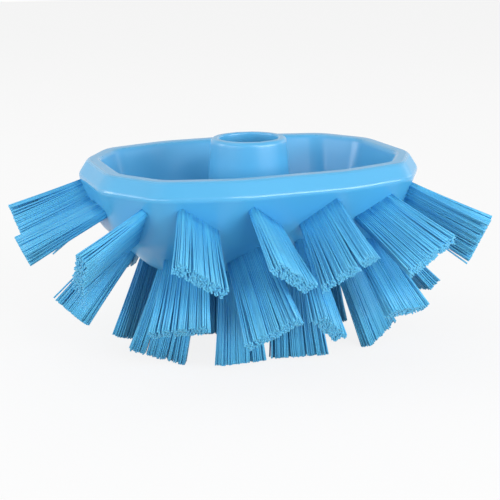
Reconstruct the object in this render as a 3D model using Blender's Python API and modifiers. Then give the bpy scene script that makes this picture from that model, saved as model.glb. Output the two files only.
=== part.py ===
"""Oval tank brush: a one-piece moulded block with packs of bristles set round it in three rings.

Run with: blender --background --python part.py, or from Blender's text editor.
Metres, +Z up, X along the brush. The brush stands on its lowest bristles at z = 0, centred
on the origin, and the socket for the handle opens upwards.
"""

import math

import bmesh
import bpy
from mathutils import Matrix, Vector

# Outline of the block at its widest edge: a twelve-sided oval, the same in all four quarters
OVAL_HALF_LENGTH = 0.0677
OVAL_HALF_WIDTH = 0.0525
WIDEST_EDGE_HEIGHT = 0.0740  # above the floor
# Corners of a quarter, each as shares of the half length and the half width
NOSE_CORNER_SHARES = (1.0, 0.387)
SHOULDER_CORNER_SHARES = (0.7755, 0.834)
FLANK_CORNER_SHARES = (0.340, 1.0)

# Lip above the widest edge
LIP_RISE = 0.0063
LIP_INSET = 0.0040
LIP_WIDTH = 0.0052

# Levels of the outer wall: how deep each lies, as a share of the block's depth under the
# widest edge, and how far each facet class is drawn in there, as shares of the half width
BLOCK_DEPTH = 0.0395
KNEE_DROP_SHARE = 0.519
KNEE_INSET_SHARES = (0.143, 0.152, 0.191, 0.236)  # nose, corner, shoulder, flank
HAUNCH_DROP_SHARE = 0.835
HAUNCH_INSET_SHARES = (0.401, 0.381, 0.419, 0.438)
BASE_INSET_SHARES = (0.686, 0.736, 0.752, 0.743)
FACET_CLASSES = (0, 1, 2, 3, 2, 1)  # nose, corner, shoulder, flank, shoulder, corner

# Bowl inside the block
BOWL_WALL = 0.0075
BOWL_FLOOR_SHARE = 0.671  # of the block's depth
FLOOR_WALL_SHARE = 1.3  # the wall is cut on the slant at the floor
BLOCK_ROUNDING = 0.0016
ROUNDING_STEPS = 2
ROUNDED_ANGLE = math.radians(9)
SMOOTH_ANGLE = math.radians(30)

# Socket for the handle, in the middle of the bowl
SOCKET_RISE = 0.0136
SOCKET_WALL = 0.0033  # round the bore at the top
SOCKET_SPREAD = 0.0031  # the column's draft, from its top to its foot
SOCKET_ROUNDING = 0.0015
SOCKET_SIDES = 40
SOCKET_SINK = 0.0030  # how deep the column runs into the bowl floor
BORE_RADIUS = 0.0121
BORE_DEPTH = 0.0340
BORE_CHAMFER = 0.0004
MERGE_DISTANCE = 0.00001
ARC_STEPS = 4

# A pack of bristles: strands fused into a slice of backing, which sits in a pocket of the block
# The slice's length, of the flank facet or of the nose facet, whichever leaves it less room
SLICE_FLANK_SHARE = 0.3866
SLICE_NOSE_SHARE = 0.4380
SLICE_WIDTH = 0.0046
SLICE_DEPTH = 0.0035
POCKET_CLEARANCE = 0.0003
STRAND_ROOT_RADIUS = 0.0009
STRAND_TIP_RADIUS = 0.0012
STRAND_SIDES = 3
STRAND_COLUMNS = 7
STRAND_ROWS = 2
STRAND_SINK = 0.0015  # how deep a strand runs into its slice
STRAND_EDGE = 0.0014  # outermost strand's axis from the slice's end
ROW_SPACING = 0.0023
STAGGER_SHARE = 0.5  # of the pitch, from one row of strands to the next
LONG_FLARE_SHARE = 1.40  # the pack's length at the tips over that at the roots
CROSS_FLARE_SHARE = 1.30  # and its width
UPPER_BRISTLE_LENGTH = 0.0330
MIDDLE_BRISTLE_LENGTH = 0.0340
FLOOR_TRIM = 0.0005  # the lower ring reaches this far past the floor and is cut flat on it
CUT_OVERRUN = 0.0030

# Places of the packs. Each row: facet, share along the facet's upper edge, share down the
# wall, then in degrees the slant of the pack on the facet, its lean along the facet and its
# droop, and last the share of the ring's bristle length. The lower ring reaches the floor
# instead. Facets count anticlockwise from the left nose, 0, to the last left corner, 11.
# The paired rows stand a second time half a turn round the brush, the single ones do not.
UPPER_PAIRED_SHARES = (
    (1, 0.07, 0.57, -56, -7, 3, 0.97),
    (2, 0.0, 0.45, 40, 0, 3, 0.93),
    (3, -0.238, 0.465, 41, 1, 1, 0.94),
    (3, 0.245, 0.46, -43, 2, 4, 0.92),
    (4, -0.02, 0.50, -29, 5, -1, 1.00),
)
UPPER_SINGLE_SHARES = (
    (5, -0.15, 0.51, 63, -6, 4, 1.04),
    (11, -0.15, 0.56, 50, -2, 12, 0.98),
    (0, -0.322, 0.42, 42, -6, 2, 0.93),
    (0, 0.133, 0.46, 3, -2, 5, 1.04),
    (6, -0.25, 0.50, -14, -7, 8, 1.01),
    (6, 0.25, 0.54, 14, 7, 14, 1.0),
)
MIDDLE_PAIRED_SHARES = (
    (2, 0.02, 0.42, -21, -7, 2, 0.93),
    (3, -0.235, 0.45, -40, -1, -2, 1.10),
    (3, 0.185, 0.465, 50, -3, 2, 1.075),
    (4, 0.022, 0.468, 9, 1, 1, 1.01),
)
MIDDLE_SINGLE_SHARES = (
    (0, 0.047, 0.436, 13, 4, 0, 1.01),
    (6, -0.19, 0.58, 10, -10, 2, 1.05),
)
LOWER_SHARES = (
    (1, 0.0, 0.565, 36, -12, 9),
    (3, -0.27, 0.60, 25, -4, 8),
    (3, 0.222, 0.545, -27, 0, 9),
    (5, 0.15, 0.49, -21, 2, -3),
    (7, -0.02, 0.60, 24, -9, 22),
    (9, -0.25, 0.60, 20, -5, 16),
    (9, 0.28, 0.68, 12, 8, 33),
    (11, 0.04, 0.54, -29, 12, 4),
)

BLOCK_BLUE = (0.050, 0.392, 0.752, 1.0)
BRISTLE_BLUE = (0.095, 0.440, 0.760, 1.0)
BLOCK_ROUGHNESS = 0.32
BRISTLE_ROUGHNESS = 0.40


def clear_scene():
    for old in list(bpy.data.objects):
        bpy.data.objects.remove(old)


def new_collection(name, parent):
    made = bpy.data.collections.new(name)
    parent.children.link(made)
    return made


def new_material(name, colour, roughness):
    made = bpy.data.materials.new(name)
    made.use_nodes = True
    shader = made.node_tree.nodes["Principled BSDF"]
    shader.inputs["Base Color"].default_value = colour
    shader.inputs["Roughness"].default_value = roughness
    shader.inputs["Metallic"].default_value = 0.0
    made.diffuse_color = colour
    return made


def add_object(name, mesh, collection, parent, matrix=None, material=None):
    """Puts a mesh in the scene as a named object, placed in its parent's frame."""
    made = bpy.data.objects.new(name, mesh)
    collection.objects.link(made)
    made.parent = parent
    if matrix is not None:
        made.matrix_basis = matrix
    if material is not None:
        made.data.materials.clear()
        made.data.materials.append(material)
    return made


def as_cutter(made):
    made.hide_render = True
    made.display_type = "WIRE"
    return made


def add_boolean(target, operation, other=None, group=None):
    step = target.modifiers.new(operation.lower(), "BOOLEAN")
    step.operation = operation
    step.solver = "EXACT"
    if group is not None:
        step.operand_type = "COLLECTION"
        step.collection = group
    else:
        step.object = other
    return step


def rim_outline():
    """Corners of the widest edge, anticlockwise from the far end of the left nose facet."""
    corners = (NOSE_CORNER_SHARES, SHOULDER_CORNER_SHARES, FLANK_CORNER_SHARES)
    quarter = [(OVAL_HALF_LENGTH * x_share, OVAL_HALF_WIDTH * y_share) for x_share, y_share in corners]
    front = [(-x, -y) for x, y in quarter] + [(x, -y) for x, y in reversed(quarter)]
    back = [(-x, -y) for x, y in front]
    return [Vector(point) for point in back[-1:] + front + back[:-1]]


def facet_class(facet):
    return FACET_CLASSES[facet % len(FACET_CLASSES)]


def drawn_in(corners, insets):
    """The outline with each facet moved inwards, parallel to itself, by its class's inset."""
    lines = []
    for facet, corner in enumerate(corners):
        run = (corners[(facet + 1) % len(corners)] - corner).normalized()
        inward = Vector((-run.y, run.x))
        lines.append((inward, inward.dot(corner) + insets[facet_class(facet)]))
    moved = []
    for facet in range(len(corners)):
        (a, c), (b, d) = lines[facet - 1], lines[facet]
        across = a.x * b.y - a.y * b.x
        moved.append(Vector(((c * b.y - d * a.y) / across, (a.x * d - b.x * c) / across)))
    return moved


def ring(drop, insets):
    """A closed ring of points at this depth under the widest edge."""
    return [Vector((p.x, p.y, -drop)) for p in drawn_in(rim_outline(), insets)]


def inset_by(shares):
    return tuple(OVAL_HALF_WIDTH * share for share in shares)


def outer_levels():
    """Depth and insets of the levels of the outer wall, from the widest edge down."""
    return (
        (0.0, (0.0,) * len(KNEE_INSET_SHARES)),
        (BLOCK_DEPTH * KNEE_DROP_SHARE, inset_by(KNEE_INSET_SHARES)),
        (BLOCK_DEPTH * HAUNCH_DROP_SHARE, inset_by(HAUNCH_INSET_SHARES)),
        (BLOCK_DEPTH, inset_by(BASE_INSET_SHARES)),
    )


def outer_insets(drop):
    """The outer wall's insets at any depth, read between two levels."""
    levels = outer_levels()
    for (top, above), (bottom, below) in zip(levels, levels[1:]):
        if drop <= bottom:
            share = (drop - top) / (bottom - top)
            return tuple(a + (b - a) * share for a, b in zip(above, below))
    return levels[-1][1]


def block_mesh():
    """A loft through the rings: bowl floor, inner wall, lip, widest edge, outer walls, base."""
    lip_outer = (LIP_INSET,) * len(KNEE_INSET_SHARES)
    lip_inner = tuple(inset + LIP_WIDTH for inset in lip_outer)
    knee_drop = BLOCK_DEPTH * KNEE_DROP_SHARE
    floor_drop = BLOCK_DEPTH * BOWL_FLOOR_SHARE
    knee_inner = tuple(inset + BOWL_WALL for inset in outer_insets(knee_drop))
    floor_wall = BOWL_WALL * FLOOR_WALL_SHARE
    floor_inner = tuple(inset + floor_wall for inset in outer_insets(floor_drop))
    rings = [
        ring(floor_drop, floor_inner),
        ring(knee_drop, knee_inner),
        ring(-LIP_RISE, lip_inner),
        ring(-LIP_RISE, lip_outer),
    ]
    rings += [ring(drop, insets) for drop, insets in outer_levels()]
    mesh = bpy.data.meshes.new("block")
    shell = bmesh.new()
    rows = [[shell.verts.new(point) for point in points] for points in rings]
    for upper, lower in zip(rows, rows[1:]):
        for here in range(len(upper)):
            there = (here + 1) % len(upper)
            shell.faces.new((upper[here], upper[there], lower[there], lower[here]))
    shell.faces.new(rows[0])
    shell.faces.new(rows[-1])
    bmesh.ops.recalc_face_normals(shell, faces=shell.faces)
    shell.to_mesh(mesh)
    shell.free()
    return mesh


def turned_mesh(name, profile):
    """A mesh with one edge chain in the XZ plane, for a Screw modifier about Z."""
    mesh = bpy.data.meshes.new(name)
    links = [(step, step + 1) for step in range(len(profile) - 1)]
    mesh.from_pydata([(radius, 0.0, height) for radius, height in profile], links, [])
    return mesh


def add_screw(made):
    turn = made.modifiers.new("turn", "SCREW")
    turn.axis = "Z"
    turn.steps = SOCKET_SIDES
    turn.render_steps = SOCKET_SIDES
    turn.use_merge_vertices = True
    turn.merge_threshold = MERGE_DISTANCE
    turn.use_smooth_shade = True


def socket_profile():
    """The column's outer side, top to bottom: rounded top edge, then a slight draft."""
    top_radius = BORE_RADIUS + SOCKET_WALL
    foot = -(BLOCK_DEPTH * BOWL_FLOOR_SHARE + SOCKET_SINK)
    arc = []
    for step in range(ARC_STEPS + 1):
        angle = math.pi / 2 * (1 - step / ARC_STEPS)
        arc.append(
            (
                top_radius - SOCKET_ROUNDING * (1 - math.cos(angle)),
                SOCKET_RISE - SOCKET_ROUNDING * (1 - math.sin(angle)),
            )
        )
    return [(0.0, SOCKET_RISE)] + arc + [(top_radius + SOCKET_SPREAD, foot), (0.0, foot)]


def bore_profile():
    """The bore's cutter: a cone through the mouth for its chamfer, then a straight bore."""
    above = SOCKET_RISE + CUT_OVERRUN
    bottom = SOCKET_RISE - BORE_DEPTH
    return [
        (0.0, above),
        (BORE_RADIUS + BORE_CHAMFER + CUT_OVERRUN, above),
        (BORE_RADIUS, SOCKET_RISE - BORE_CHAMFER),
        (BORE_RADIUS, bottom),
        (0.0, bottom),
    ]


def wall_frame(wall, facet):
    """Middle of a facet's upper edge, the directions along, down and out of it, and its size."""
    levels = outer_levels()
    upper = ring(*levels[wall])
    lower = ring(*levels[wall + 1])
    after = (facet + 1) % len(upper)
    middle = (upper[facet] + upper[after]) / 2
    along = upper[after] - upper[facet]
    length = along.length
    along.normalize()
    down = (lower[facet] + lower[after]) / 2 - middle
    down -= along * down.dot(along)
    height = down.length
    down.normalize()
    return middle, along, down, down.cross(along), length, height


def pack_matrix(wall, facet, along_share, down_share, slant, lean, droop):
    """A pack's own frame: origin on the facet, X along its slice, Z out along its bristles."""
    middle, along, down, out, length, height = wall_frame(wall, facet)
    root = middle + along * (length * along_share) + down * (height * down_share)
    axis = out + along * math.tan(math.radians(lean)) + down * math.tan(math.radians(droop))
    axis.normalize()
    strip = along * math.cos(math.radians(slant)) + down * math.sin(math.radians(slant))
    strip = (strip - axis * strip.dot(axis)).normalized()
    across = axis.cross(strip)
    matrix = Matrix((strip, across, axis)).transposed().to_4x4()
    matrix.translation = root
    return matrix


def ring_rows(paired, single):
    """One ring's rows: the paired ones, those half a turn round, then the rest."""
    half = len(FACET_CLASSES)
    return list(paired) + [(facet + half, *place) for facet, *place in paired] + list(single)


def ring_packs(wall, bristle_length, rows):
    """The frame and the bristle length of each pack in a ring."""
    return [(pack_matrix(wall, *row[:-1]), bristle_length * row[-1]) for row in rows]


def slice_length():
    flank = 2 * OVAL_HALF_LENGTH * FLANK_CORNER_SHARES[0]
    nose = 2 * OVAL_HALF_WIDTH * NOSE_CORNER_SHARES[1]
    return min(flank * SLICE_FLANK_SHARE, nose * SLICE_NOSE_SHARE)


def strand_spots():
    """Where the strands stand on the slice, in two staggered rows."""
    reach = slice_length() / 2 - STRAND_EDGE
    pitch = 2 * reach / (STRAND_COLUMNS - 1 + STAGGER_SHARE)
    return [
        (-reach + pitch * (column + row * STAGGER_SHARE), ROW_SPACING * (row - (STRAND_ROWS - 1) / 2))
        for row in range(STRAND_ROWS)
        for column in range(STRAND_COLUMNS)
    ]


def strand_ends(bristle_length):
    """Root and tip of each strand's axis in the pack's frame, spread towards the tips."""
    ends = []
    for x, y in strand_spots():
        tip = Vector((x * LONG_FLARE_SHARE, y * CROSS_FLARE_SHARE, bristle_length))
        root = Vector((x, y, 0.0))
        root -= (tip - root).normalized() * STRAND_SINK
        ends.append((root, tip))
    return ends


def length_to_floor(matrix):
    """The bristle length that takes a pack's lowest tip just past the floor."""
    turn = matrix.to_3x3()
    drop = -turn.col[2].z
    rim = STRAND_TIP_RADIUS * math.sqrt(1 - drop * drop)
    spots = [Vector((x * LONG_FLARE_SHARE, y * CROSS_FLARE_SHARE, 0.0)) for x, y in strand_spots()]
    spread = min((turn @ spot).z for spot in spots)
    lowest = matrix.translation.z + spread - rim
    return (WIDEST_EDGE_HEIGHT + FLOOR_TRIM + lowest) / drop


def box_mesh(name, length, width, bottom, top):
    """A box centred on Z, from one height to another."""
    mesh = bpy.data.meshes.new(name)
    shape = bmesh.new()
    place = Matrix.Translation((0.0, 0.0, (bottom + top) / 2))
    place @= Matrix.Diagonal((length, width, top - bottom, 1.0))
    bmesh.ops.create_cube(shape, size=1.0, matrix=place)
    shape.to_mesh(mesh)
    shape.free()
    return mesh


def strands_mesh(name, bristle_length):
    """Straight tapered strands, a little thicker where they spread towards the tips."""
    mesh = bpy.data.meshes.new(name)
    shape = bmesh.new()
    for root, tip in strand_ends(bristle_length):
        run = tip - root
        turn = run.to_track_quat("Z", "X").to_matrix().to_4x4()
        bmesh.ops.create_cone(
            shape,
            cap_ends=True,
            segments=STRAND_SIDES,
            radius1=STRAND_ROOT_RADIUS,
            radius2=STRAND_TIP_RADIUS,
            depth=run.length,
            matrix=Matrix.Translation((root + tip) / 2) @ turn,
        )
    shape.to_mesh(mesh)
    shape.free()
    return mesh


def pack_mesh(name, bristle_length, helpers):
    """The slice and its strands joined into one solid."""
    slice_object = add_object(
        name + "_slice", box_mesh(name, slice_length(), SLICE_WIDTH, -SLICE_DEPTH, 0.0), helpers, None
    )
    strands = add_object(
        name + "_strands", strands_mesh(name + "_strands", bristle_length), helpers, None
    )
    add_boolean(slice_object, "UNION", strands)
    graph = bpy.context.evaluated_depsgraph_get()
    joined = bpy.data.meshes.new_from_object(slice_object.evaluated_get(graph))
    joined.name = name
    for helper in (slice_object, strands):
        bpy.data.objects.remove(helper)
    return joined


def build():
    clear_scene()
    scene = bpy.context.scene
    parts = new_collection("tank_brush", scene.collection)
    cutters = new_collection("cutters", scene.collection)
    cutters.hide_render = True
    pockets = new_collection("pocket_cutters", cutters)
    stand = bpy.data.objects.new("widest_edge_height", None)
    stand.location.z = WIDEST_EDGE_HEIGHT
    parts.objects.link(stand)

    block_plastic = new_material("block_plastic", BLOCK_BLUE, BLOCK_ROUGHNESS)
    bristle_plastic = new_material("bristle_plastic", BRISTLE_BLUE, BRISTLE_ROUGHNESS)

    block = add_object("block", block_mesh(), parts, stand, material=block_plastic)
    rounding = block.modifiers.new("rounding", "BEVEL")
    rounding.width = BLOCK_ROUNDING
    rounding.segments = ROUNDING_STEPS
    rounding.limit_method = "ANGLE"
    rounding.angle_limit = ROUNDED_ANGLE
    column = as_cutter(
        add_object("socket_column", turned_mesh("socket_column", socket_profile()), cutters, stand)
    )
    bore = as_cutter(
        add_object("socket_bore", turned_mesh("socket_bore", bore_profile()), cutters, stand)
    )
    add_screw(column)
    add_screw(bore)

    pocket = box_mesh(
        "pocket",
        slice_length() + 2 * POCKET_CLEARANCE,
        SLICE_WIDTH + 2 * POCKET_CLEARANCE,
        -(SLICE_DEPTH + POCKET_CLEARANCE),
        CUT_OVERRUN,
    )
    reach = OVAL_HALF_LENGTH + UPPER_BRISTLE_LENGTH
    ground = as_cutter(
        add_object(
            "ground",
            box_mesh("ground", 2 * reach, 2 * reach, -CUT_OVERRUN, 0.0),
            cutters,
            None,
        )
    )
    upper = ring_rows(UPPER_PAIRED_SHARES, UPPER_SINGLE_SHARES)
    middle = ring_rows(MIDDLE_PAIRED_SHARES, MIDDLE_SINGLE_SHARES)
    lower = [pack_matrix(2, *row) for row in LOWER_SHARES]
    rings = (
        ("upper_pack", ring_packs(0, UPPER_BRISTLE_LENGTH, upper)),
        ("middle_pack", ring_packs(1, MIDDLE_BRISTLE_LENGTH, middle)),
        ("lower_pack", [(matrix, length_to_floor(matrix)) for matrix in lower]),
    )
    for name, packs in rings:
        for number, (matrix, bristle_length) in enumerate(packs, 1):
            label = f"{name}_{number:02d}"
            mesh = pack_mesh(label, bristle_length, cutters)
            pack = add_object(label, mesh, parts, stand, matrix, bristle_plastic)
            as_cutter(add_object(label + "_pocket", pocket, pockets, stand, matrix))
            if name == "lower_pack":
                add_boolean(pack, "DIFFERENCE", ground)

    add_boolean(block, "UNION", column)
    add_boolean(block, "DIFFERENCE", bore)
    add_boolean(block, "DIFFERENCE", group=pockets)
    block.data.shade_smooth()
    block.data.set_sharp_from_angle(angle=SMOOTH_ANGLE)


build()
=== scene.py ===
"""Looks of an oval tank brush: a moulded block shaped like a bowl, with packs of fused bristles.

Metres, +Z up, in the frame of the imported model: the brush stands on its lowest bristles at z = 0,
X runs along it and the socket for the handle opens upwards on the Z axis.
"""

import math

import bpy
import numpy as np
from mathutils import Matrix, Vector


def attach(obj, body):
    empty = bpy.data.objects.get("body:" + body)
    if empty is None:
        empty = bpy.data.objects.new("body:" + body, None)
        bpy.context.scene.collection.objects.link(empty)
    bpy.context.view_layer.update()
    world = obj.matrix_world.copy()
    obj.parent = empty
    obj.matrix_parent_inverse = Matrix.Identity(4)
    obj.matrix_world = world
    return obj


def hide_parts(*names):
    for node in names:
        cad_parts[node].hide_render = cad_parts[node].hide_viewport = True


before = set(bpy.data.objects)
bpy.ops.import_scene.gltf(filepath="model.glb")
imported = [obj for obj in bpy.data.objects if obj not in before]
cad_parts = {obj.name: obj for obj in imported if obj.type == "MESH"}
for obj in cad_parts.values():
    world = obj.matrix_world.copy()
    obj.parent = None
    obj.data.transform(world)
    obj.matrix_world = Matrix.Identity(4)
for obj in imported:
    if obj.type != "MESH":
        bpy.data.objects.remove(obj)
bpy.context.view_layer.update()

MM = 0.001

# Block: its widest edge is a twelve-sided oval, and every other level is drawn in from it.
# Insets are given for the four kinds of facet: nose, corner, shoulder and flank. Shares of drops
# and of the bowl's floor are of the block's depth, and inset shares are of the oval's half width.
WIDEST_EDGE_HEIGHT = 74.0 * MM
OVAL_HALF_LENGTH = 67.7 * MM
OVAL_HALF_WIDTH = 52.5 * MM
OVAL_CORNER_SHARES = ((1.0, 0.387), (0.7755, 0.834), (0.340, 1.0))
FACET_KINDS = np.array((0, 1, 2, 3, 2, 1) * 2)
LIP_RISE = 6.3 * MM
LIP_INSET = 4.0 * MM
LIP_WIDTH = 5.2 * MM
BLOCK_DEPTH = 39.5 * MM
KNEE_DROP_SHARE = 0.519
HAUNCH_DROP_SHARE = 0.835
KNEE_INSET_SHARES = (0.143, 0.152, 0.191, 0.236)
HAUNCH_INSET_SHARES = (0.401, 0.381, 0.419, 0.438)
BASE_INSET_SHARES = (0.686, 0.736, 0.752, 0.743)
BOWL_WALL = 7.5 * MM
BOWL_FLOOR_SHARE = 0.671
FLOOR_WALL_SHARE = 1.3  # the wall at the bowl's floor over the wall higher up
SOCKET_RISE = 13.6 * MM
SOCKET_RADIUS = 15.4 * MM
SOCKET_FOOT_RADIUS = 18.5 * MM
BORE_RADIUS = 12.1 * MM
BORE_DEPTH = 34.0 * MM

# How far each edge of the block is rounded, along the wall on either side of it
BORE_BOTTOM_ROUNDING = 1.5 * MM
MOUTH_ROUNDING = 0.9 * MM
SOCKET_TOP_ROUNDING = 1.9 * MM
SOCKET_FOOT_ROUNDING = 3.5 * MM
FLOOR_ROUNDING = 4.0 * MM
INNER_KNEE_ROUNDING = 4.0 * MM
LIP_INNER_ROUNDING = 1.8 * MM
LIP_OUTER_ROUNDING = 1.2 * MM
WIDEST_EDGE_ROUNDING = 1.5 * MM
KNEE_ROUNDING = 3.0 * MM
HAUNCH_ROUNDING = 3.0 * MM
BASE_ROUNDING = 2.5 * MM
EDGE_LIMIT_SHARE = 0.45  # an edge's rounding takes no more than this of the wall beside it
EDGE_STEPS = 7
WALL_STEP_SHARES = (0.03, 0.15, 0.38, 0.62, 0.85, 0.97)

# The same for the upright corners between facets
OUTER_CORNER_ROUNDING = 6.5 * MM
LIP_CORNER_ROUNDING = 5.5 * MM
INNER_CORNER_ROUNDING = 4.4 * MM
CORNER_LIMIT_SHARE = 0.42  # a corner's rounding takes no more than this of the facet's edge
CORNER_STEPS = 8
FACET_STEP_SHARES = (0.04, 0.20, 0.50, 0.80, 0.96)

# Columns of the block's profile, which block_profile explains
HEIGHT, RADIUS, ROUNDNESS, INSETS, FLANK_INSET, CORNER, EDGE = 0, 1, 2, slice(3, 7), 6, 7, 8

# Packs of bristles. Spreads are a pack's size at the tips over that of its slice.
SAME_POINT_DIGITS = 6  # points of a solid that agree to a micron are one
LONG_SIDE_WAY = (1.0, 0.3, 0.1)  # a pack's long side is counted towards this direction
FILAMENT_DIAMETER = 0.71 * MM
FILAMENT_COLUMNS = 28
FILAMENT_ROWS = 8
FILAMENT_SIDES = 5
FILAMENT_RING_SHARES = (0.0, 0.18, 0.42, 0.70, 1.0)
TIP_SPREAD_LONG_SHARE = 1.31
TIP_SPREAD_CROSS_SHARE = 1.24
ROOT_PINCH_SHARE = 0.66  # how much of its short side a pack keeps at the root
BOW_SHARE = 0.18  # of the spread comes late, so the filaments curve outwards a little
ROOT_SINK = 1.0 * MM
ROOT_SCATTER = 0.07 * MM
TIP_SCATTER_LONG = 0.22 * MM
TIP_SCATTER_CROSS = 0.26 * MM
LENGTH_SCATTER = 0.55 * MM
STRAYS = 5
STRAY_REACH = 1.3 * MM
STRAY_LEAST_SHARE = 0.3  # of the reach
STRAY_FROM_SHARE = 0.8  # strays stand further out along the pack than this
SEED = 71

# Clumps: cycles along the pack, skew in radians for each millimetre across it, and weight
CLUMP_WAVES = ((2, 0.3, 1.0), (3, -0.4, 1.0), (5, 0.7, 0.8))
CLUMP_SWAY = 0.30 * MM

# Cracks between clumps: their places along the pack are shares of its half length
INNER_CRACKS = 2
INNER_CRACK_SHARE = 0.35
INNER_CRACK_LOOSE_SHARE = 0.18
END_CRACKS = 3
END_CRACK_SHARE = 0.62
END_CRACK_STEP_SHARE = 0.11
CRACK_WIDTH = 1.2 * MM
CRACK_LEAST_SHARE = 0.3  # of the width
CRACK_SLANT = 0.35

# The fused roots: share of the length, and how far they stand outside the filaments there
SLEEVE_CORNER = 0.9 * MM
SLEEVE_SIDES = 56
SLEEVE_LEVELS = (
    (-0.03, 0.02 * MM), (0.0, 0.01 * MM), (0.04, -0.04 * MM),
    (0.09, -0.08 * MM), (0.15, -0.14 * MM), (0.22, -0.22 * MM),
    (0.32, -0.40 * MM), (0.45, -0.70 * MM), (0.62, -1.10 * MM),
)
ANGLE_NUDGE = 1e-6  # gives a point on an axis to one of the corners beside it

# Colours
BLOCK_BLUE = (0.072, 0.402, 0.715, 1.0)
BLOCK_BLUE_PALE = (0.080, 0.418, 0.732, 1.0)
BRISTLE_BLUE_DEEP = (0.012, 0.262, 0.672, 1.0)
BRISTLE_BLUE = (0.080, 0.486, 0.812, 1.0)
BRISTLE_BLUE_PALE = (0.148, 0.575, 0.868, 1.0)
WHITE = (1.0, 1.0, 1.0, 1.0)
FLOOR_SEEN = (0.92, 0.92, 0.92, 1.0)
FLOOR_GREY = (0.45, 0.45, 0.45, 1.0)

# Finish of the block: a noise's scale is in cycles per metre, and its range is what it covers
CLOUD_SCALE = 26.0
CLOUD_RANGE = (0.35, 0.65)
SKIN_SCALE = 160.0
SKIN_RANGE = (0.3, 0.7)
NOISE_DETAIL = 2.0
BLOCK_ROUGHNESS = (0.39, 0.45)
EDGE_POLISH = 0.20
BLOCK_COAT = 0.28
BLOCK_COAT_ROUGHNESS = 0.16

# Finish of the bristles
FILAMENT_SKIN_SCALE = 700.0
BRISTLE_ROUGHNESS = (0.30, 0.42)
BRISTLE_SPECULAR = 0.2
# The lower paleness at the root is painted shade, darker where the packs go into the block
PAINTED_ROOT_SHADE_PALENESS = (0.30, 0.80)  # at the root and at the tip
SHADE_MIDDLE = 0.5
SHADE_BY_CLUMP = 0.30
SHADE_BY_CHANCE = 0.40
GLOW_THROUGH = 0.2
GLOW_THROUGH_RADIUS = (0.7, 0.8, 0.9)
GLOW_THROUGH_DEPTH = 0.5 * MM

# Camera, matched to the photograph: where it stands and looks, seen from the middle of the
# widest edge, with angles in radians, and its focal length in pixels of the 500 pixel wide frame
FRAME_WIDTH = 500
SENSOR_WIDTH = 36.0
CAMERA_DISTANCE = 483.4 * MM
CAMERA_ELEVATION = 0.191
CAMERA_TURN = -0.353
CAMERA_ROLL = -0.011
CAMERA_FOCUS_PIXELS = 1172.18
CAMERA_AIM_RIGHT = 0.04 * MM
CAMERA_AIM_DOWN = 34.18 * MM

# Studio. Each lamp has its name, its degrees to the right of -Y and above the floor, its width
# and height in metres, and its watts.
FLOOR_HALF_SIZE = 3.0
FLOOR_ROUGHNESS = 0.9
FLOOR_GLOW_SHARE = 0.85  # of the floor's look is glow where it is seen, and the rest keeps shadow
SOFT_STRENGTH = 0.34
SEEN_STRENGTH = 1.0
LAMP_DISTANCE = 1.2
LAMPS = (
    ("key", 36.0, 10.5, (1.05, 0.30), 9.6),
    ("left", -74.0, 10.0, (0.70, 0.30), 3.2),
    ("far_left", -110.0, 12.0, (0.50, 0.32), 3.5),
    ("above_left", -90.0, 60.0, (1.00, 0.80), 1.6),
    ("front_left", -40.0, 11.0, (0.50, 0.30), 1.7),
    ("front", 3.0, 25.0, (0.36, 0.28), 2.6),
    ("right", 100.0, 12.0, (0.50, 0.32), 0.8),
    ("behind", 180.0, 60.0, (1.00, 0.80), 1.2),
)


def new_mesh_object(name, points, *faces):
    """A mesh object at the origin from points and from arrays of faces of equal side counts."""
    mesh = bpy.data.meshes.new(name)
    points = np.asarray(points, float).reshape(-1, 3)
    sizes = np.concatenate([np.full(len(group), group.shape[1]) for group in faces])
    loops = np.concatenate([group.ravel() for group in faces])
    mesh.vertices.add(len(points))
    mesh.vertices.foreach_set("co", points.ravel())
    mesh.loops.add(len(loops))
    mesh.loops.foreach_set("vertex_index", loops.astype(np.int32))
    mesh.polygons.add(len(sizes))
    starts = np.concatenate([[0], np.cumsum(sizes)[:-1]])
    mesh.polygons.foreach_set("loop_start", starts.astype(np.int32))
    mesh.polygons.foreach_set("use_smooth", np.ones(len(sizes), bool))
    mesh.update(calc_edges=True)
    mesh.validate()
    made = bpy.data.objects.new(name, mesh)
    bpy.context.scene.collection.objects.link(made)
    return made


def add_attribute(piece, name, values):
    """One number for each point of a piece, which its material reads by this name."""
    layer = piece.data.attributes.new(name, "FLOAT", "POINT")
    layer.data.foreach_set("value", np.asarray(values, np.float32).ravel())


def tube_faces(rings, sides):
    """Quads between the neighbouring rings of one tube whose points run ring by ring."""
    ring, side = np.meshgrid(np.arange(rings - 1), np.arange(sides), indexing="ij")
    after = (side + 1) % sides
    quads = np.stack([ring * sides + side, ring * sides + after,
                      (ring + 1) * sides + after, (ring + 1) * sides + side], axis=-1)
    return quads.reshape(-1, 4)


def oval_corners(insets):
    """Corners of the oval for each row of insets.

    Each facet's line is moved inwards by the inset of its kind, and a corner is where two
    neighbouring lines cross.
    """
    shares = np.array(OVAL_CORNER_SHARES)
    quarter = shares * (OVAL_HALF_LENGTH, OVAL_HALF_WIDTH)
    front = np.vstack([quarter * (-1, -1), quarter[::-1] * (1, -1)])
    rim = np.roll(np.vstack([front, -front]), 1, axis=0)
    run = np.roll(rim, -1, axis=0) - rim
    run /= np.linalg.norm(run, axis=1, keepdims=True)
    inward = np.stack([-run[:, 1], run[:, 0]], axis=1)
    offset = (inward * rim).sum(1) + insets[:, FACET_KINDS]
    before, before_offset = np.roll(inward, 1, axis=0), np.roll(offset, 1, axis=1)
    across = before[:, 0] * inward[:, 1] - before[:, 1] * inward[:, 0]
    x = (before_offset * inward[:, 1] - offset * before[:, 1]) / across
    y = (before[:, 0] * offset - inward[:, 0] * before_offset) / across
    return np.stack([x, y], axis=-1)


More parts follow.
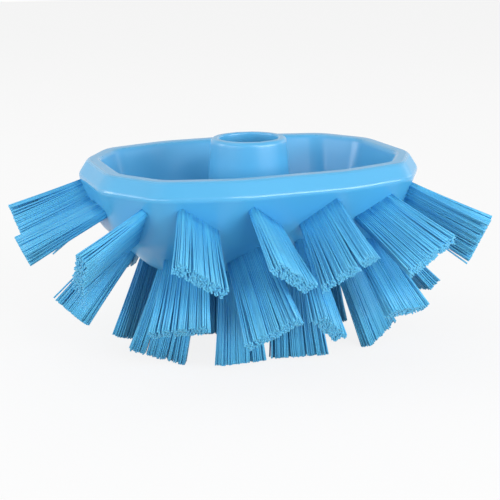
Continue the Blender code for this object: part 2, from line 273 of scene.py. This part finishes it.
def rounded_oval(insets, rounding):
    """Points round the oval for each row of insets and corner roundings.

    A corner is a quadratic curve from the rounding's length before it to that length after it,
    and straight points fill the facet up to the next corner.
    """
    corner = oval_corners(insets)
    edge = np.roll(corner, -1, axis=1) - corner
    length = np.linalg.norm(edge, axis=2)
    shortest = np.minimum(length, np.roll(length, 1, axis=1))
    reach = np.minimum(rounding[:, None], CORNER_LIMIT_SHARE * shortest)[..., None]
    run = edge / length[..., None]
    start = corner - np.roll(run, 1, axis=1) * reach
    end = corner + run * reach
    share = np.linspace(0.0, 1.0, CORNER_STEPS + 1)[:, None]
    curve = ((1 - share) ** 2 * start[:, :, None] + 2 * share * (1 - share) * corner[:, :, None]
             + share ** 2 * end[:, :, None])
    share = np.array(FACET_STEP_SHARES)[:, None]
    straight = end[:, :, None] * (1 - share) + np.roll(start, -1, axis=1)[:, :, None] * share
    points = np.concatenate([curve, straight], axis=2)
    return points.reshape(len(insets), -1, 2)


def outer_insets(drop):
    """How far in from the widest edge the outer wall is at a drop below it, for each kind of facet:
    straight lines between the insets at the widest edge, the knee, the haunch and the base."""
    drops = BLOCK_DEPTH * np.array((0.0, KNEE_DROP_SHARE, HAUNCH_DROP_SHARE, 1.0))
    shares = np.array(((0.0,) * 4, KNEE_INSET_SHARES, HAUNCH_INSET_SHARES, BASE_INSET_SHARES))
    return [OVAL_HALF_WIDTH * np.interp(drop, drops, column) for column in shares.T]


def bowl_insets(drop, wall_share):
    """The same for the inside of the bowl: the outer wall's insets and a share of the wall."""
    return [inset + BOWL_WALL * wall_share for inset in outer_insets(drop)]


def block_profile():
    """Levels of the block from the bottom of the bore, up, over the lip and down to the base.

    Each row is height over the widest edge, radius, roundness (1 for a circle, 0 for the oval),
    the four insets, the rounding of the oval's corners there and the rounding of the edge.
    """
    def circle(height, radius, edge):
        """A level of the socket. Its insets and corners stay those of the bowl's floor."""
        return [height, radius, 1.0, *bowl_insets(floor, FLOOR_WALL_SHARE), INNER_CORNER_ROUNDING, edge]

    def oval(height, insets, corner, edge, radius=0.0):
        """A level of the oval, with a radius where the level before it is a circle."""
        return [height, radius, 0.0, *insets, corner, edge]

    knee, haunch = BLOCK_DEPTH * KNEE_DROP_SHARE, BLOCK_DEPTH * HAUNCH_DROP_SHARE
    floor = BLOCK_DEPTH * BOWL_FLOOR_SHARE
    bore_bottom = SOCKET_RISE - BORE_DEPTH
    base = oval(-BLOCK_DEPTH, outer_insets(BLOCK_DEPTH), OUTER_CORNER_ROUNDING, BASE_ROUNDING)
    base_middle = list(base)
    base_middle[ROUNDNESS], base_middle[EDGE] = 1.0, 0.0
    return np.array([
        circle(bore_bottom, 0.0, 0.0),
        circle(bore_bottom, BORE_RADIUS, BORE_BOTTOM_ROUNDING),
        circle(SOCKET_RISE, BORE_RADIUS, MOUTH_ROUNDING),
        circle(SOCKET_RISE, SOCKET_RADIUS, SOCKET_TOP_ROUNDING),
        circle(-floor, SOCKET_FOOT_RADIUS, SOCKET_FOOT_ROUNDING),
        oval(-floor, bowl_insets(floor, FLOOR_WALL_SHARE), INNER_CORNER_ROUNDING, FLOOR_ROUNDING,
             SOCKET_FOOT_RADIUS),
        oval(-knee, bowl_insets(knee, 1.0), INNER_CORNER_ROUNDING, INNER_KNEE_ROUNDING),
        oval(LIP_RISE, [LIP_INSET + LIP_WIDTH] * 4, INNER_CORNER_ROUNDING, LIP_INNER_ROUNDING),
        oval(LIP_RISE, [LIP_INSET] * 4, LIP_CORNER_ROUNDING, LIP_OUTER_ROUNDING),
        oval(0.0, [0.0] * 4, OUTER_CORNER_ROUNDING, WIDEST_EDGE_ROUNDING),
        oval(-knee, outer_insets(knee), OUTER_CORNER_ROUNDING, KNEE_ROUNDING),
        oval(-haunch, outer_insets(haunch), OUTER_CORNER_ROUNDING, HAUNCH_ROUNDING),
        base,
        base_middle,
    ])


def rounded_profile(levels):
    """The profile with its edges rounded, and how near each point is to a crisp edge.

    Each level is a corner of a chain in the space of heights, radii and insets. It is replaced
    by a quadratic curve that starts and ends the edge's rounding away from it, and the chain
    between two curves is filled with points. Nearness is half a sine wave over the curve, times
    the square of the sharpness: 1 for an edge no rounder than the widest one, else less.
    """
    flank = OVAL_HALF_WIDTH - levels[:, FLANK_INSET]
    flank = levels[:, ROUNDNESS] * levels[:, RADIUS] + (1 - levels[:, ROUNDNESS]) * flank
    size = np.hypot(np.diff(levels[:, HEIGHT]), np.diff(flank))
    places, nearness = [levels[0]], [0.0]
    leave = levels[0]
    curve = np.linspace(0.0, 1.0, EDGE_STEPS + 1)[:, None]
    fill = np.array(WALL_STEP_SHARES)[:, None]
    for here in range(1, len(levels) - 1):
        level = levels[here]
        back = min(EDGE_LIMIT_SHARE, level[EDGE] / size[here - 1])
        ahead = min(EDGE_LIMIT_SHARE, level[EDGE] / size[here])
        start = level + (levels[here - 1] - level) * back
        end = level + (levels[here + 1] - level) * ahead
        places += list(leave * (1 - fill) + start * fill)
        nearness += [0.0] * len(fill)
        places += list((1 - curve) ** 2 * start + 2 * curve * (1 - curve) * level + curve ** 2 * end)
        sharpness = WIDEST_EDGE_ROUNDING / max(level[EDGE], WIDEST_EDGE_ROUNDING)
        nearness += list(np.sin(np.pi * curve[:, 0]) * sharpness ** 2)
        leave = end
    places += list(leave * (1 - fill) + levels[-1] * fill) + [levels[-1]]
    nearness += [0.0] * (len(fill) + 1)
    return np.array(places), np.array(nearness)


def block_surface():
    """One closed surface: the rounded profile carried round the block.

    A point is the mix of a point of the rounded oval and the point of a circle in the same
    direction, by the profile's roundness there, at the profile's height. The bottom of the bore
    and the base are closed by fans round their middles.
    """
    levels, nearness = rounded_profile(block_profile())
    oval = rounded_oval(levels[:, INSETS], levels[:, CORNER])
    direction = oval / np.linalg.norm(oval, axis=2, keepdims=True)
    roundness = levels[:, ROUNDNESS][:, None, None]
    flat = roundness * levels[:, RADIUS][:, None, None] * direction + (1 - roundness) * oval
    height = np.broadcast_to(levels[:, HEIGHT][:, None, None], flat.shape[:2] + (1,))
    grid = np.concatenate([flat, height + WIDEST_EDGE_HEIGHT], axis=2)[1:-1]
    rings, sides = grid.shape[:2]
    bore_bottom = (0.0, 0.0, levels[0, HEIGHT] + WIDEST_EDGE_HEIGHT)
    base_middle = (0.0, 0.0, levels[-1, HEIGHT] + WIDEST_EDGE_HEIGHT)
    points = np.vstack([grid.reshape(-1, 3), bore_bottom, base_middle])
    side = np.arange(sides)
    after = (side + 1) % sides
    last = (rings - 1) * sides
    pole = np.full(sides, rings * sides)
    bottom_fan = np.stack([side, pole, after], axis=1)[:, ::-1]
    base_fan = np.stack([last + after, pole + 1, last + side], axis=1)[:, ::-1]
    quads = tube_faces(rings, sides)[:, ::-1]
    block = new_mesh_object("block_shell", points, quads, bottom_fan, base_fan)
    add_attribute(block, "edge", np.append(np.repeat(nearness[1:-1], sides), [0.0, 0.0]))
    return block


def node_points(node):
    """Points of a node's solid, three coordinates a row."""
    points = np.empty(len(node.data.vertices) * 3)
    node.data.vertices.foreach_get("co", points)
    return points.reshape(-1, 3)


def pack_frame(node):
    """Where a pack stands, read from its solid: its root's middle, its three directions
    (long side, short side, out along the bristles), its slice's half sizes and its length.

    The four points furthest back along the bristles are the corners of the slice's bottom.
    """
    points = np.unique(np.round(node_points(node), SAME_POINT_DIGITS), axis=0)
    middle = points.mean(axis=0)
    out = np.linalg.svd(points - middle, full_matrices=False)[2][0]
    out *= np.sign(out @ (middle - (0.0, 0.0, WIDEST_EDGE_HEIGHT - BLOCK_DEPTH / 2)))
    corners = points[np.argsort(points @ out)[:4]]
    bottom = corners.mean(axis=0)
    along, across, normal = np.linalg.svd(corners - bottom, full_matrices=False)[2]
    normal *= np.sign(normal @ out)
    along *= np.sign(along @ LONG_SIDE_WAY)
    across = np.cross(normal, along)
    half_length = np.abs((corners - bottom) @ along).mean()
    half_width = np.abs((corners - bottom) @ across).mean()
    heights = np.sort((points - bottom) @ normal)
    slice_depth = heights[heights > half_width][0]
    return (bottom + normal * slice_depth, np.stack([along, across, normal]), half_length,
            half_width, heights[-1] - slice_depth)


def filament_spots(half_length, half_width, rng):
    """Places of the filaments across the slice: even rows that fill it, every other one moved by
    half a step, and each filament a little loose."""
    column, row = np.meshgrid(np.arange(FILAMENT_COLUMNS), np.arange(FILAMENT_ROWS), indexing="ij")
    x = (column + 0.5 * (row % 2)) / (FILAMENT_COLUMNS - 0.5) * 2 - 1
    y = row / (FILAMENT_ROWS - 1) * 2 - 1
    x = x.ravel() * (half_length - FILAMENT_DIAMETER / 2)
    y = y.ravel() * (half_width - FILAMENT_DIAMETER / 2)
    loose = rng.normal(0.0, ROOT_SCATTER, (2, len(x)))
    return x + loose[0], y + loose[1]


def clump_waves(x, y, half_length, rng):
    """Slow waves along the pack, which shift from row to row: the weighted mean of one sine for
    each row of CLUMP_WAVES, each from a phase of its own."""
    cycles, skew, weight = np.array(CLUMP_WAVES).T[:, :, None]
    phase = rng.uniform(0.0, 2 * np.pi, len(CLUMP_WAVES))[:, None]
    waves = np.sin(cycles * np.pi * x / half_length + skew * y / MM + phase)
    return (weight * waves).sum(0) / weight.sum()


def cracks(x, y, half_length, rng):
    """How far each filament is pushed aside by the cracks that open between clumps.

    A crack stands across the pack at its own place along it and on its own slant. Filaments on
    either side of it are pushed apart by half its width each. The cracks of the first result
    open late, those of the second, near the ends of the pack, open from the root.
    """
    inner = np.linspace(-INNER_CRACK_SHARE, INNER_CRACK_SHARE, INNER_CRACKS)
    inner += rng.uniform(-INNER_CRACK_LOOSE_SHARE, INNER_CRACK_LOOSE_SHARE, INNER_CRACKS)
    ends = END_CRACK_SHARE + END_CRACK_STEP_SHARE * np.arange(END_CRACKS)
    ends = rng.choice((-1.0, 1.0), END_CRACKS) * ends
    place = np.append(inner, ends)
    width = rng.uniform(CRACK_LEAST_SHARE, 1.0, len(place)) * CRACK_WIDTH
    slant = rng.uniform(-CRACK_SLANT, CRACK_SLANT, len(place))
    side = np.sign(x[:, None] - place * half_length - slant * y[:, None])
    push = side * width / 2
    return push[:, :INNER_CRACKS].sum(1), push[:, INNER_CRACKS:].sum(1)


def filament_tips(x, y, half_length, waves, pushed, rng):
    """Places of the tips across the pack: the spots spread evenly but for what the cracks take,
    swayed by the clumps and scattered, with a few strays that reach out further at its ends.

    Along the pack, neighbours share half their scatter, so that they seldom cross.
    """
    spread = TIP_SPREAD_LONG_SHARE - pushed.max() / half_length
    loose = rng.normal(0.0, TIP_SCATTER_LONG, (FILAMENT_COLUMNS + 1, FILAMENT_ROWS))
    tip_x = x * spread + CLUMP_SWAY * waves + (loose[1:] + loose[:-1]).ravel() / 2
    tip_y = y * TIP_SPREAD_CROSS_SHARE + CLUMP_SWAY * np.roll(waves, FILAMENT_ROWS)
    tip_y += rng.normal(0.0, TIP_SCATTER_CROSS, len(x))
    outer = np.flatnonzero(np.abs(x) > STRAY_FROM_SHARE * half_length)
    stray = rng.choice(outer, STRAYS, replace=False)
    tip_x[stray] += np.sign(x[stray]) * rng.uniform(STRAY_LEAST_SHARE, 1.0, STRAYS) * STRAY_REACH
    tip_y[stray] += rng.uniform(-1.0, 1.0, STRAYS) * STRAY_REACH
    return tip_x, tip_y


def spread_so_far(share):
    """How much of the spread has come at a share of the length: that share, but for the bow's
    part of it, which comes with the share's square."""
    return share * (1 - BOW_SHARE) + share ** 2 * BOW_SHARE


def filament_axes(root, turn, start, tip, late_push, early_push):
    """Middles of every filament's rings, and their shares of its length.

    A filament runs from its root to its tip, spreading a little late, and ends where it meets
    the pack's cut or the floor. Cracks that open late push it with the square of the share.
    """
    start_world, tip_world = root + start @ turn, root + tip @ turn
    fall = start_world[:, 2] - tip_world[:, 2]
    reach = np.where(tip_world[:, 2] < 0.0, start_world[:, 2] / np.maximum(fall, MM), 1.0)
    share = np.array(FILAMENT_RING_SHARES)[None, :] * reach[:, None]
    run = (tip - start)[:, None]
    axis = start[:, None] + run * share[..., None]
    axis[..., :2] = start[:, None, :2] + run[..., :2] * spread_so_far(share)[..., None]
    axis[..., 0] += late_push[:, None] * share ** 2 + early_push[:, None] * share
    return axis, share


def filament_rings(axis, run, rng):
    """Circles round the middles of the rings, across each filament's straight run. Each filament
    is turned about itself by chance."""
    run = run / np.linalg.norm(run, axis=1, keepdims=True)
    side = np.cross(run, (0.0, 1.0, 0.0))
    side /= np.linalg.norm(side, axis=1, keepdims=True)
    other = np.cross(run, side)
    angle = np.arange(FILAMENT_SIDES) * 2 * np.pi / FILAMENT_SIDES
    angle = angle[None] + rng.uniform(0.0, 2 * np.pi, len(run))[:, None]
    circle = np.cos(angle)[..., None] * side[:, None] + np.sin(angle)[..., None] * other[:, None]
    return axis[:, :, None] + circle[:, None] * FILAMENT_DIAMETER / 2


def filaments(root, turn, half_length, half_width, length, rng):
    """Points of every filament as an array of filaments, rings, sides and three coordinates,
    each point's share of the length, and each filament's shade.

    Roots are the spots drawn in across the pack by the pinch and sunk in the block. A shade is
    the middle one, moved by the clump's wave and by chance.
    """
    x, y = filament_spots(half_length, half_width, rng)
    waves = clump_waves(x, y, half_length, rng)
    late_push, early_push = cracks(x, y, half_length, rng)
    tip_x, tip_y = filament_tips(x, y, half_length, waves, late_push + early_push, rng)
    tip_z = length + rng.uniform(-1.0, 0.0, len(x)) * LENGTH_SCATTER
    start = np.stack([x, y * ROOT_PINCH_SHARE, np.full(len(x), -ROOT_SINK)], axis=1)
    tip = np.stack([tip_x, tip_y, tip_z], axis=1)
    axis, share = filament_axes(root, turn, start, tip, late_push, early_push)
    world = root + filament_rings(axis, tip - start, rng) @ turn
    world[..., 2] = np.maximum(world[..., 2], 0.0)
    shade = SHADE_MIDDLE + SHADE_BY_CLUMP * waves
    shade += rng.uniform(-SHADE_BY_CHANCE, SHADE_BY_CHANCE, len(x))
    return world, np.broadcast_to(share[..., None], world.shape[:3]), np.clip(shade, 0.0, 1.0)


def sleeve(root, turn, half_length, half_width, length):
    """The fused roots: a rounded oblong carried up the pack, from outside the filaments at the
    block to inside them where they part. Returns its points and their shares of the length.

    Its half sizes are those that the filaments have there, with their pinch and spread, and as
    much more as the level stands proud. A point is its corner's centre and a step on a circle.
    """
    angle = np.arange(SLEEVE_SIDES) * 2 * np.pi / SLEEVE_SIDES
    corner = SLEEVE_CORNER * np.stack([np.cos(angle), np.sin(angle)], axis=1)
    nudged = angle + ANGLE_NUDGE
    quadrant = np.sign(np.stack([np.cos(nudged), np.sin(nudged)], axis=1))
    share, proud = np.array(SLEEVE_LEVELS).T
    spread = spread_so_far(np.maximum(share, 0.0))
    long_share = 1 + (TIP_SPREAD_LONG_SHARE - 1) * spread
    cross_share = ROOT_PINCH_SHARE + (TIP_SPREAD_CROSS_SHARE - ROOT_PINCH_SHARE) * spread
    half_sizes = np.stack([half_length * long_share + proud, half_width * cross_share + proud], axis=1)
    flat = quadrant * (half_sizes[:, None] - SLEEVE_CORNER) + corner
    height = np.broadcast_to((share * length)[:, None, None], flat.shape[:2] + (1,))
    rings = np.concatenate([flat, height], axis=2)
    return root + rings @ turn, np.broadcast_to(share[:, None], flat.shape[:2])


def pack_piece(node, number):
    """One pack: its fused roots and all its filaments, closed at both ends, in one mesh."""
    rng = np.random.default_rng(SEED + number)
    root, turn, half_length, half_width, length = pack_frame(node)
    hairs, along, shade = filaments(root, turn, half_length, half_width, length, rng)
    collar, collar_along = sleeve(root, turn, half_length, half_width, length)
    count, rings, sides = hairs.shape[:3]
    first = np.arange(count) * rings * sides
    quads = (first[:, None, None] + tube_faces(rings, sides)[None]).reshape(-1, 4)
    caps = first[:, None] + (rings - 1) * sides + np.arange(sides)
    roots = first[:, None] + np.arange(sides)[::-1]
    base = count * rings * sides
    collar_quads = base + tube_faces(len(SLEEVE_LEVELS), SLEEVE_SIDES)
    collar_top = base + (len(SLEEVE_LEVELS) - 1) * SLEEVE_SIDES + np.arange(SLEEVE_SIDES)[None]
    collar_foot = base + np.arange(SLEEVE_SIDES)[None, ::-1]
    points = np.vstack([hairs.reshape(-1, 3), collar.reshape(-1, 3)])
    piece = new_mesh_object(node.name + "_filaments", points, quads, caps, roots,
                            collar_quads, collar_top, collar_foot)
    mark_flat(piece, len(quads), len(quads) + 2 * count)
    shade = np.repeat(shade, rings * sides)
    add_attribute(piece, "filament", np.append(shade, np.full(collar_along.size, SHADE_MIDDLE)))
    add_attribute(piece, "along", np.append(along.ravel(), collar_along.ravel()))
    return piece


def mark_flat(piece, first, last):
    """Flat shading for the faces with these numbers: the cut ends of the filaments."""
    smooth = np.ones(len(piece.data.polygons), bool)
    smooth[first:last] = False
    piece.data.polygons.foreach_set("use_smooth", smooth)


def new_material(name):
    """A material, its nodes and its shader."""
    made = bpy.data.materials.new(name)
    made.use_nodes = True
    return made, made.node_tree, made.node_tree.nodes["Principled BSDF"]


def add_node(tree, kind, **settings):
    """A node with its settings made."""
    made = tree.nodes.new(kind)
    for key, value in settings.items():
        setattr(made, key, value)
    return made


def noise(tree, place, scale):
    """Soft noise about 0.5 over the places it is given."""
    made = add_node(tree, "ShaderNodeTexNoise")
    made.inputs["Scale"].default_value = scale
    made.inputs["Detail"].default_value = NOISE_DETAIL
    tree.links.new(place, made.inputs["Vector"])
    return made.outputs["Fac"]


def colour_mix(tree, factor, low, high):
    """The low colour at factor 0, the high one at 1. Either is a colour or another node's."""
    made = add_node(tree, "ShaderNodeMix", data_type="RGBA")
    for socket, value in ((made.inputs["A"], low), (made.inputs["B"], high)):
        if isinstance(value, tuple):
            socket.default_value = value
        else:
            tree.links.new(value, socket)
    tree.links.new(factor, made.inputs["Factor"])
    return made.outputs["Result"]


def mapped(tree, value, low, high, to_low, to_high):
    """A value carried evenly from one range to another, and held at its ends."""
    made = add_node(tree, "ShaderNodeMapRange")
    numbers = {"From Min": low, "From Max": high, "To Min": to_low, "To Max": to_high}
    for name, number in numbers.items():
        made.inputs[name].default_value = number
    tree.links.new(value, made.inputs["Value"])
    return made.outputs["Result"]


def block_material():
    """Moulded polypropylene: soft gloss, a fine skin, faint clouds and polished edges."""
    made, tree, shader = new_material("moulded_blue_plastic")
    place = add_node(tree, "ShaderNodeTexCoord").outputs["Object"]
    edge = add_node(tree, "ShaderNodeAttribute", attribute_name="edge").outputs["Fac"]
    clouds = mapped(tree, noise(tree, place, CLOUD_SCALE), *CLOUD_RANGE, 0.0, 1.0)
    blue = colour_mix(tree, clouds, BLOCK_BLUE, BLOCK_BLUE_PALE)
    tree.links.new(blue, shader.inputs["Base Color"])
    skin = mapped(tree, noise(tree, place, SKIN_SCALE), *SKIN_RANGE, *BLOCK_ROUGHNESS)
    roughness = add_node(tree, "ShaderNodeMath", operation="SUBTRACT")
    tree.links.new(skin, roughness.inputs[0])
    tree.links.new(mapped(tree, edge, 0.0, 1.0, 0.0, EDGE_POLISH), roughness.inputs[1])
    tree.links.new(roughness.outputs[0], shader.inputs["Roughness"])
    shader.inputs["Coat Weight"].default_value = BLOCK_COAT
    shader.inputs["Coat Roughness"].default_value = BLOCK_COAT_ROUGHNESS
    return made


def bristle_material():
    """Extruded filaments: each its own shade, deeper at the fused roots as painted shade and paler
    at the tips, with a little light that passes through them."""
    made, tree, shader = new_material("blue_filament")
    along = add_node(tree, "ShaderNodeAttribute", attribute_name="along").outputs["Fac"]
    shade = add_node(tree, "ShaderNodeAttribute", attribute_name="filament").outputs["Fac"]
    own = colour_mix(tree, shade, BRISTLE_BLUE_DEEP, BRISTLE_BLUE)
    # Painted shade: filaments grow deeper towards the fused roots, where they go into the block, and
    # paler towards the tips
    paler = mapped(tree, along, 0.0, 1.0, *PAINTED_ROOT_SHADE_PALENESS)
    tree.links.new(colour_mix(tree, paler, own, BRISTLE_BLUE_PALE), shader.inputs["Base Color"])
    place = add_node(tree, "ShaderNodeTexCoord").outputs["Object"]
    skin = noise(tree, place, FILAMENT_SKIN_SCALE)
    tree.links.new(mapped(tree, skin, *SKIN_RANGE, *BRISTLE_ROUGHNESS), shader.inputs["Roughness"])
    shader.inputs["Specular IOR Level"].default_value = BRISTLE_SPECULAR
    shader.inputs["Subsurface Weight"].default_value = GLOW_THROUGH
    shader.inputs["Subsurface Radius"].default_value = GLOW_THROUGH_RADIUS
    shader.inputs["Subsurface Scale"].default_value = GLOW_THROUGH_DEPTH
    return made


def dress(piece, material, body, slot, *nodes):
    """Gives a piece its material and its body, and puts it in the place of these nodes."""
    piece.data.materials.append(material)
    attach(piece, body)
    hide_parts(*nodes)


def add_camera():
    """The camera stands at its distance and elevation from the middle of the widest edge, looks
    at its aim, rolls a little about its view, and all that turns about the Z axis."""
    place = Vector((0.0, -CAMERA_DISTANCE * math.cos(CAMERA_ELEVATION),
                    CAMERA_DISTANCE * math.sin(CAMERA_ELEVATION)))
    ahead = (Vector((CAMERA_AIM_RIGHT, 0.0, -CAMERA_AIM_DOWN)) - place).normalized()
    right = ahead.cross(Vector((0.0, 0.0, 1.0))).normalized()
    above = right.cross(ahead)
    rolled_right = right * math.cos(CAMERA_ROLL) + above * math.sin(CAMERA_ROLL)
    rolled_above = above * math.cos(CAMERA_ROLL) - right * math.sin(CAMERA_ROLL)
    matrix = Matrix((rolled_right, rolled_above, -ahead)).transposed().to_4x4()
    matrix.translation = place
    camera = bpy.data.objects.new("camera", bpy.data.cameras.new("camera"))
    bpy.context.scene.collection.objects.link(camera)
    lift = Matrix.Translation((0.0, 0.0, WIDEST_EDGE_HEIGHT))
    camera.matrix_world = lift @ Matrix.Rotation(CAMERA_TURN, 4, "Z") @ matrix
    camera.data.sensor_width = SENSOR_WIDTH
    camera.data.lens = SENSOR_WIDTH * CAMERA_FOCUS_PIXELS / FRAME_WIDTH
    bpy.context.scene.camera = camera


def add_lamp(name, azimuth, elevation, size, watts):
    """A soft oblong lamp that faces the middle of the block's widest edge."""
    turn, rise = math.radians(azimuth), math.radians(elevation)
    aim = Vector((0.0, 0.0, WIDEST_EDGE_HEIGHT))
    away = Vector((math.sin(turn) * math.cos(rise), -math.cos(turn) * math.cos(rise), math.sin(rise)))
    lamp = bpy.data.objects.new(name, bpy.data.lights.new(name, "AREA"))
    bpy.context.scene.collection.objects.link(lamp)
    lamp.data.shape = "RECTANGLE"
    lamp.data.size, lamp.data.size_y = size
    lamp.data.energy = watts
    lamp.location = aim + away * LAMP_DISTANCE
    lamp.rotation_euler = away.to_track_quat("Z", "Y").to_euler()


def seen_or_mirrored(tree):
    """1 for a ray that shows the background, straight, in a gloss or through glass, else 0."""
    ray = add_node(tree, "ShaderNodeLightPath")
    kinds = ray.outputs["Is Camera Ray"]
    for name in ("Is Glossy Ray", "Is Transmission Ray"):
        either = add_node(tree, "ShaderNodeMath", operation="MAXIMUM")
        tree.links.new(kinds, either.inputs[0])
        tree.links.new(ray.outputs[name], either.inputs[1])
        kinds = either.outputs[0]
    return kinds


def add_world():
    """White where it is seen or mirrored, a plain soft light to the object."""
    world = bpy.data.worlds.new("studio")
    world.use_nodes = True
    bpy.context.scene.world = world
    tree = world.node_tree
    soft = tree.nodes["Background"]
    soft.inputs["Color"].default_value = WHITE
    soft.inputs["Strength"].default_value = SOFT_STRENGTH
    seen = add_node(tree, "ShaderNodeBackground")
    seen.inputs["Color"].default_value = WHITE
    seen.inputs["Strength"].default_value = SEEN_STRENGTH
    mix = add_node(tree, "ShaderNodeMixShader")
    tree.links.new(seen_or_mirrored(tree), mix.inputs["Fac"])
    tree.links.new(soft.outputs[0], mix.inputs[1])
    tree.links.new(seen.outputs[0], mix.inputs[2])
    tree.links.new(mix.outputs[0], tree.nodes["World Output"].inputs["Surface"])


def add_floor():
    """A pale floor, seen mostly white, with the object's shadow left in."""
    corner = np.array([(-1, -1, 0), (1, -1, 0), (1, 1, 0), (-1, 1, 0)])
    floor = new_mesh_object("floor", corner * FLOOR_HALF_SIZE, np.array([[0, 1, 2, 3]]))
    made, tree, shader = new_material("pale_floor")
    shown = seen_or_mirrored(tree)
    tree.links.new(colour_mix(tree, shown, FLOOR_GREY, FLOOR_SEEN), shader.inputs["Base Color"])
    shader.inputs["Roughness"].default_value = FLOOR_ROUGHNESS
    glow_share = add_node(tree, "ShaderNodeMath", operation="MULTIPLY")
    tree.links.new(shown, glow_share.inputs[0])
    glow_share.inputs[1].default_value = FLOOR_GLOW_SHARE
    glow = add_node(tree, "ShaderNodeEmission")
    glow.inputs["Color"].default_value = WHITE
    mix = add_node(tree, "ShaderNodeMixShader")
    tree.links.new(glow_share.outputs[0], mix.inputs["Fac"])
    tree.links.new(shader.outputs[0], mix.inputs[1])
    tree.links.new(glow.outputs[0], mix.inputs[2])
    tree.links.new(mix.outputs[0], tree.nodes["Material Output"].inputs["Surface"])
    floor.data.materials.append(made)


def main():
    """The studio, the block, and every other node of the frame as a pack of bristles."""
    bpy.context.scene.view_settings.view_transform = "Standard"
    add_camera()
    add_world()
    add_floor()
    for lamp in LAMPS:
        add_lamp(*lamp)
    plastic = block_material()
    bristle = bristle_material()
    dress(block_surface(), plastic, "root", "block_plastic", "block")
    packs = sorted(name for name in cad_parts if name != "block")
    for number, name in enumerate(packs):
        dress(pack_piece(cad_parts[name], number), bristle, "root", "bristle_plastic", name)


main()
